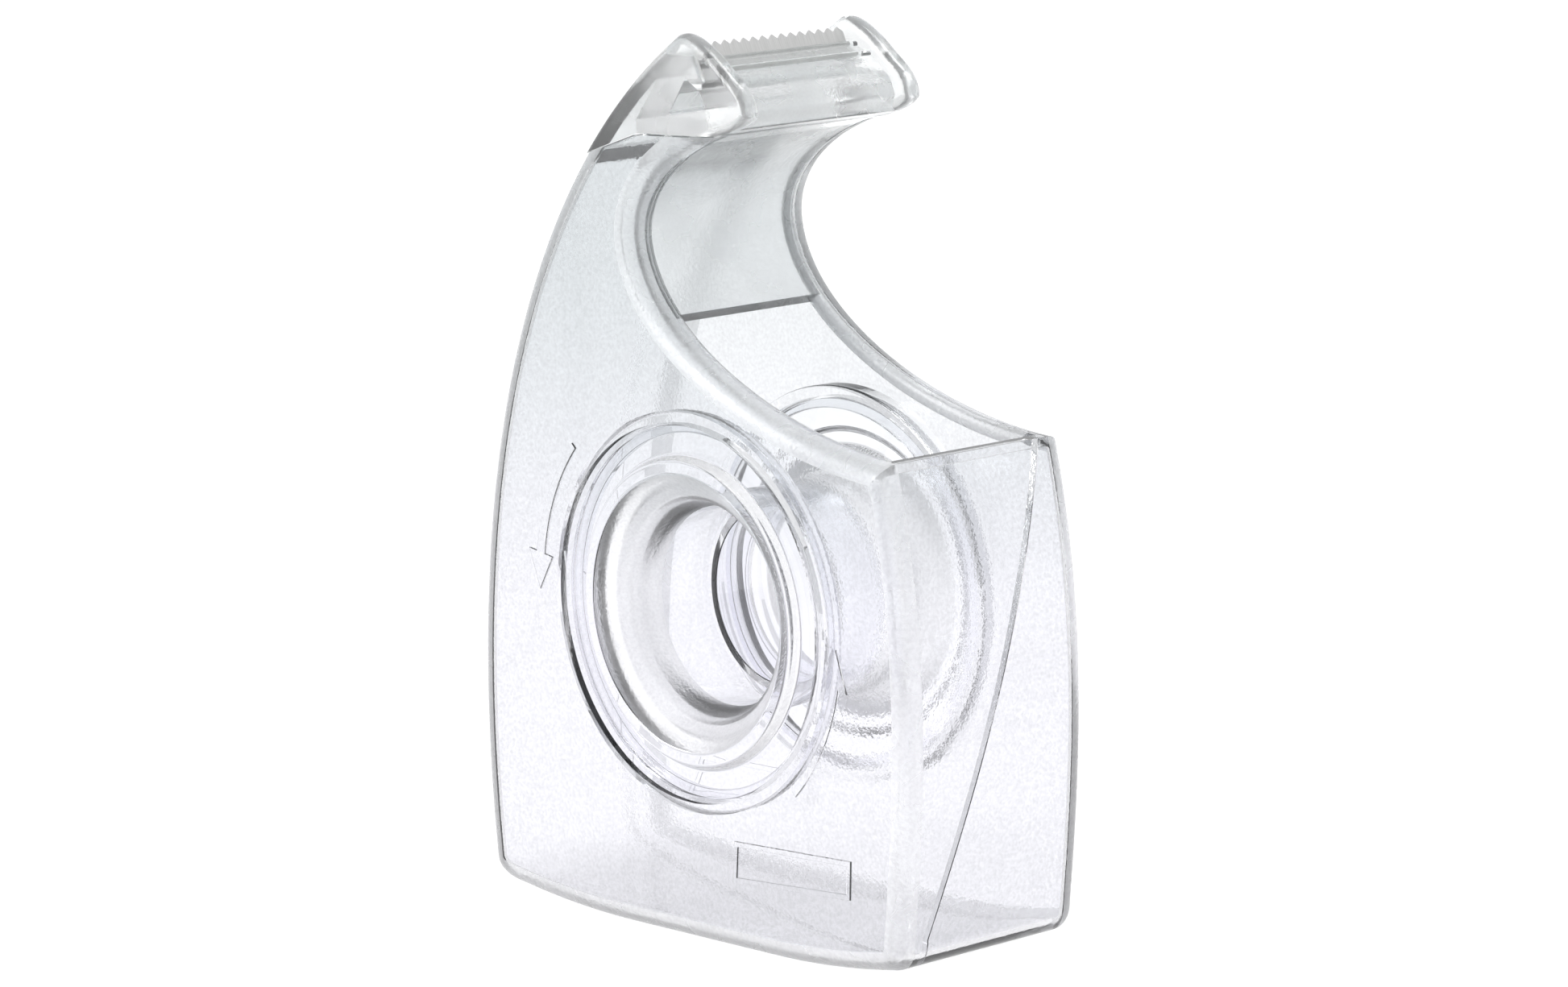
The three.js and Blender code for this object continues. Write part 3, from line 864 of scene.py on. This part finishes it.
def makeRightHub():
    shoulder = hub["tubeReach"] + 0.15
    spigot = hub["tubeBore"] - 0.25
    bore = spigot - 1.0
    section = flareSection()[:-1] + [
        (bore + 0.7, hub["flareStart"], 1.5), (bore, shoulder + 2, 0.8), (bore, 0.0, 0.15),
        (spigot, 0.0, 0.15), (spigot, shoulder, 0), (hub["tubeRadius"], shoulder, 0.1),
    ]
    return turned("rightHub", filleted(section), plastics["hub"])


def frostFunnel(thing):
    # the funnel's inner face is frosted, the rest of the hub polished
    mesh = thing.data
    mesh.materials.append(plastics["funnel"])
    for face in mesh.polygons:
        centre, normal = face.center, face.normal
        arm = Vector((centre.x - hubAxis.x, 0, centre.z - hubAxis.z))
        radius = arm.length / mm
        inward = normal.dot(arm.normalized()) < -0.2
        depth = abs(centre.y) / mm
        if inward and radius < hub["mouthRadius"] + 0.1 and depth > hub["flareStart"] - 3.5:
            face.material_index = 1


for maker, name, body, node in ((makeLeftHub, "leftHub", "body", "left_hub"),
                                (makeRightHub, "rightHub", "spindle", "right_hub")):
    piece = maker()
    frostFunnel(piece)
    softenShading(piece)
    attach(piece, body)
    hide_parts(node)
print("hub ready")


head = {
    "halfWidth": 13.3,
    "cheekWidth": 2.5,
    "cheekRound": 1.15,
    "padDrop": 2.2,
    "ribRadius": 0.42,
    "ribCount": 2,
    "ribSides": 20,
    "ribSpread": (0.3, 0.8),  # first and last rib along the pad's upper slope
    "webWall": 1.6,
    "thumbSteps": 12,  # outline points between the thumb rest's cut end and the throat
    "thumbGap": 0.3,
    "slotWall": 0.3,
    "bladeShow": 1.3,
}
blade = {
    "tip": (2.4, 63.7),
    "lean": 25.0,
    "width": 21.0,
    "height": 4.4,
    "thickness": 0.3,
    "teeth": 15,
    "toothDepth": 0.6,
}


def makeRibTree():
    tree = bpy.data.node_groups.new("padRibs", "GeometryNodeTree")
    interface = tree.interface
    sockets = {}
    for label, kind in (("Count", "NodeSocketInt"), ("First", "NodeSocketVector"),
                        ("Step", "NodeSocketVector"), ("Radius", "NodeSocketFloat"),
                        ("Length", "NodeSocketFloat"), ("Sides", "NodeSocketInt"),
                        ("Material", "NodeSocketMaterial")):
        sockets[label] = interface.new_socket(name=label, in_out="INPUT", socket_type=kind).identifier
    interface.new_socket(name="Geometry", in_out="OUTPUT", socket_type="NodeSocketGeometry")
    nodes, links = tree.nodes, tree.links
    given, result = nodes.new("NodeGroupInput"), nodes.new("NodeGroupOutput")
    row = nodes.new("GeometryNodeMeshLine")
    rib = nodes.new("GeometryNodeMeshCylinder")
    spread = nodes.new("GeometryNodeInstanceOnPoints")
    spread.inputs["Rotation"].default_value = (math.pi / 2, 0, 0)
    realize = nodes.new("GeometryNodeRealizeInstances")
    paint = nodes.new("GeometryNodeSetMaterial")
    links.new(given.outputs["Count"], row.inputs["Count"])
    links.new(given.outputs["First"], row.inputs["Start Location"])
    links.new(given.outputs["Step"], row.inputs["Offset"])
    links.new(given.outputs["Sides"], rib.inputs["Vertices"])
    links.new(given.outputs["Radius"], rib.inputs["Radius"])
    links.new(given.outputs["Length"], rib.inputs["Depth"])
    links.new(row.outputs["Mesh"], spread.inputs["Points"])
    links.new(rib.outputs["Mesh"], spread.inputs["Instance"])
    links.new(spread.outputs["Instances"], realize.inputs["Geometry"])
    links.new(realize.outputs["Geometry"], paint.inputs["Geometry"])
    links.new(given.outputs["Material"], paint.inputs["Material"])
    links.new(paint.outputs["Geometry"], result.inputs["Geometry"])
    return tree, sockets


def makePadRibs(first, last, length, material):
    tree, sockets = makeRibTree()
    thing = newObject("padRibs", [], [])
    modifier = thing.modifiers.new("ribs", "NODES")
    modifier.node_group = tree
    modifier[sockets["Count"]] = head["ribCount"]
    modifier[sockets["First"]] = inPlace(first[0], 0, first[1])
    modifier[sockets["Step"]] = ((last[0] - first[0]) * mm, 0.0, (last[1] - first[1]) * mm)
    modifier[sockets["Radius"]] = head["ribRadius"] * mm
    modifier[sockets["Length"]] = length * mm
    modifier[sockets["Sides"]] = head["ribSides"]
    modifier[sockets["Material"]] = material
    evaluated(thing)
    faceOutwards(thing)
    return thing


def bladeSlot():
    lean = math.radians(blade["lean"])
    along = Vector((math.sin(lean), -math.cos(lean)))
    across = Vector((math.cos(lean), math.sin(lean))) * (blade["thickness"] / 2 + head["slotWall"])
    tip = Vector(blade["tip"])
    top, foot = tip - along * 3, tip + along * (blade["height"] + head["slotWall"])
    corners = [foot - across, foot + across, top + across, top - across]
    half = head["halfWidth"] - head["cheekWidth"]
    return slab("bladeSlot", [tuple(c) for c in corners], straightRings(0.1 - half, half - 0.1),
                [plastics["head"]])


def makeHead():
    outer, width = head["halfWidth"], head["cheekWidth"]
    inner = outer - width
    tip = blade["tip"]
    padTop = (tip[0] + 0.7, tip[1] - head["bladeShow"])
    padRidge = (7.4, o["headRise"] - 2.3 - head["padDrop"])
    middle = inner + width / 2
    piece = slab("cutterHead", headOutline, straightRings(-middle, middle), [plastics["cheek"]])
    recess = slab("padRecess", filleted([
        (-far, far, 0), (-far, padTop[1], 0), (*padTop, 0.3), (*padRidge, 1.2),
        (o["headReach"] - 2.8, headTip[1] + 2.2, 2.0), (o["headReach"] - 1.9, headTip[1] + 0.2, 1.2),
        (o["headReach"] - 3.2, chin[1] + 0.7, 0.8), (far, chin[1], 0), (far, far, 0)]),
        straightRings(-far, far), [plastics["pad"]])
    combine(piece, recess, "DIFFERENCE")
    for side in (False, True):
        rings = roundedRings(inner, outer, head["cheekRound"])
        cheek = slab("cheek", headOutline, rings, [plastics["cheek"]])
        if side:
            mirrorAcross(cheek)
        combine(piece, cheek, "UNION")
    combine(piece, headZone(shell["gap"] / 2), "INTERSECT")
    rise = o["throatRise"]
    tunnel = slab("tunnel", filleted([
        (-0.3, rise + 14.2, 0.5), (6.2, rise + 15.3, 0.6), (5.4, o["headRise"] - 6.4, 1.6),
        (3.0, o["headRise"] - 4.9, 0.6)]), straightRings(-far, far), [plastics["head"]])
    combine(piece, tunnel, "DIFFERENCE")
    behind = [p for p in inset(joined(backCurve, thumbCurve), head["webWall"])[1:len(backCurve) - 1]
              if rise + 7 < p[1] < o["headRise"] - 5.4]
    pocket = slab("pocket", behind + [(-7.2, rise + 8), (-7.2, rise + 13.4)],
                  straightRings(0.25 - inner, inner - 0.25), [plastics["thumb"]])
    combine(piece, pocket, "DIFFERENCE")
    start = shellOutline.index(throat) - head["thumbSteps"]
    outside = shellOutline[start:-2]
    inside = inset(shellOutline, shell["wall"])[start:-2]
    half = shell["halfWidth"] - shell["lipWidth"] - head["thumbGap"]
    wall = slab("thumbWall", outside + inside[::-1], straightRings(-half, half), [plastics["thumb"]])
    combine(piece, wall, "UNION")
    first, last = (tuple(a + (b - a) * t for a, b in zip(padTop, padRidge)) for t in head["ribSpread"])
    combine(piece, makePadRibs(first, last, 2 * inner + 0.4, plastics["head"]), "UNION")
    combine(piece, bladeSlot(), "DIFFERENCE")
    return piece


def makeBladeTree():
    tree = bpy.data.node_groups.new("toothedStrip", "GeometryNodeTree")
    interface = tree.interface
    sockets = {}
    for label, kind in (("Width", "NodeSocketFloat"), ("Height", "NodeSocketFloat"),
                        ("Thickness", "NodeSocketFloat"), ("Teeth", "NodeSocketInt"),
                        ("Tooth Depth", "NodeSocketFloat"),
                        ("Material", "NodeSocketMaterial")):
        sockets[label] = interface.new_socket(name=label, in_out="INPUT", socket_type=kind).identifier
    interface.new_socket(name="Geometry", in_out="OUTPUT", socket_type="NodeSocketGeometry")
    nodes, links = tree.nodes, tree.links
    given, result = nodes.new("NodeGroupInput"), nodes.new("NodeGroupOutput")

    def calculate(operation, *values):
        node = nodes.new("ShaderNodeMath")
        node.operation = operation
        for socket, value in zip(node.inputs, values):
            if isinstance(value, (int, float)):
                socket.default_value = value
            else:
                links.new(value, socket)
        return node.outputs[0]

    # two columns of points to each tooth, one row at the top and one at the foot
    columns = calculate("MULTIPLY_ADD", given.outputs["Teeth"], 2.0, 1.0)
    strip = nodes.new("GeometryNodeMeshGrid")
    strip.inputs["Vertices Y"].default_value = 2
    links.new(given.outputs["Width"], strip.inputs["Size X"])
    links.new(given.outputs["Height"], strip.inputs["Size Y"])
    links.new(columns, strip.inputs["Vertices X"])
    place = nodes.new("GeometryNodeInputPosition")
    split = nodes.new("ShaderNodeSeparateXYZ")
    links.new(place.outputs["Position"], split.inputs["Vector"])
    halfPitches = calculate("MULTIPLY", given.outputs["Teeth"], 2.0)
    halfPitch = calculate("DIVIDE", given.outputs["Width"], halfPitches)
    halfWidth = calculate("MULTIPLY", given.outputs["Width"], 0.5)
    fromLeft = calculate("ADD", split.outputs["X"], halfWidth)
    column = calculate("ROUND", calculate("DIVIDE", fromLeft, halfPitch))
    valley = calculate("SUBTRACT", 1.0, calculate("MODULO", column, 2.0))
    top = calculate("GREATER_THAN", split.outputs["Y"], 0.0)
    depth = calculate("MULTIPLY", given.outputs["Tooth Depth"], -1.0)
    drop = calculate("MULTIPLY", calculate("MULTIPLY", valley, top), depth)
    offset = nodes.new("ShaderNodeCombineXYZ")
    links.new(drop, offset.inputs["Y"])
    notch = nodes.new("GeometryNodeSetPosition")
    links.new(strip.outputs["Mesh"], notch.inputs["Geometry"])
    links.new(offset.outputs["Vector"], notch.inputs["Offset"])
    thicken = nodes.new("GeometryNodeExtrudeMesh")
    thicken.inputs["Individual"].default_value = False
    links.new(notch.outputs["Geometry"], thicken.inputs["Mesh"])
    links.new(given.outputs["Thickness"], thicken.inputs["Offset Scale"])
    turn = nodes.new("GeometryNodeFlipFaces")
    links.new(notch.outputs["Geometry"], turn.inputs["Mesh"])
    join = nodes.new("GeometryNodeJoinGeometry")
    links.new(thicken.outputs["Mesh"], join.inputs["Geometry"])
    links.new(turn.outputs["Mesh"], join.inputs["Geometry"])
    realize = nodes.new("GeometryNodeRealizeInstances")
    paint = nodes.new("GeometryNodeSetMaterial")
    links.new(join.outputs["Geometry"], realize.inputs["Geometry"])
    links.new(realize.outputs["Geometry"], paint.inputs["Geometry"])
    links.new(given.outputs["Material"], paint.inputs["Material"])
    links.new(paint.outputs["Geometry"], result.inputs["Geometry"])
    return tree, sockets


steel = {
    "grindScale": (400, 8000, 400),
    "grindDetail": 4.0,
    "darkest": (0.55, 0.55, 0.54, 1),
    "lightest": (0.8, 0.8, 0.79, 1),
    "roughness": (0.25, 0.45),
    "grindDepth": 0.00001,
    "grindStrength": 0.4,
}


def makeSteel():
    material, nodes, links, shader = newMaterial("brushedSteel")
    coordinate = nodes.new("ShaderNodeTexCoord")
    mapping = nodes.new("ShaderNodeMapping")
    # short grind marks, close together along the blade
    mapping.inputs["Scale"].default_value = steel["grindScale"]
    grind = nodes.new("ShaderNodeTexNoise")
    grind.inputs["Scale"].default_value = 1.0
    grind.inputs["Detail"].default_value = steel["grindDetail"]
    links.new(coordinate.outputs["Object"], mapping.inputs["Vector"])
    links.new(mapping.outputs["Vector"], grind.inputs["Vector"])
    colour = nodes.new("ShaderNodeMix")
    colour.data_type = "RGBA"
    colour.inputs["A"].default_value = steel["darkest"]
    colour.inputs["B"].default_value = steel["lightest"]
    links.new(grind.outputs["Fac"], colour.inputs["Factor"])
    rough = nodes.new("ShaderNodeMapRange")
    rough.inputs["To Min"].default_value, rough.inputs["To Max"].default_value = steel["roughness"]
    links.new(grind.outputs["Fac"], rough.inputs["Value"])
    bump = nodes.new("ShaderNodeBump")
    bump.inputs["Distance"].default_value = steel["grindDepth"]
    bump.inputs["Strength"].default_value = steel["grindStrength"]
    links.new(grind.outputs["Fac"], bump.inputs["Height"])
    links.new(colour.outputs["Result"], shader.inputs["Base Color"])
    links.new(rough.outputs["Result"], shader.inputs["Roughness"])
    links.new(bump.outputs["Normal"], shader.inputs["Normal"])
    shader.inputs["Metallic"].default_value = 1.0
    return material


def makeBlade():
    tree, sockets = makeBladeTree()
    thing = newObject("toothedStrip", [], [])
    modifier = thing.modifiers.new("teeth", "NODES")
    modifier.node_group = tree
    modifier[sockets["Width"]] = blade["width"] * mm
    modifier[sockets["Height"]] = blade["height"] * mm
    modifier[sockets["Thickness"]] = blade["thickness"] * mm
    modifier[sockets["Teeth"]] = blade["teeth"]
    modifier[sockets["Tooth Depth"]] = blade["toothDepth"] * mm
    modifier[sockets["Material"]] = makeSteel()
    evaluated(thing)
    dropEmptySlots(thing)
    # the strip's width lies across the dispenser, its teeth up along the lean
    lean = math.radians(blade["lean"])
    up = Vector((-math.sin(lean), 0, math.cos(lean)))
    thick = Vector((math.cos(lean), 0, math.sin(lean)))
    pose = Matrix((Vector((0, 1, 0)), up, thick)).transposed().to_4x4()
    tip = Vector(inPlace(blade["tip"][0], 0, blade["tip"][1]))
    pose.translation = tip - up * (blade["height"] / 2 * mm) - thick * (blade["thickness"] / 2 * mm)
    thing.data.transform(pose)
    faceOutwards(thing)
    return thing


for maker, node, slot in ((makeHead, "cutter_head", "clear_plastic"), (makeBlade, "blade", "blade_steel")):
    piece = maker()
    softenShading(piece)
    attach(piece, "body")
    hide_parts(node)
print("head and blade ready")
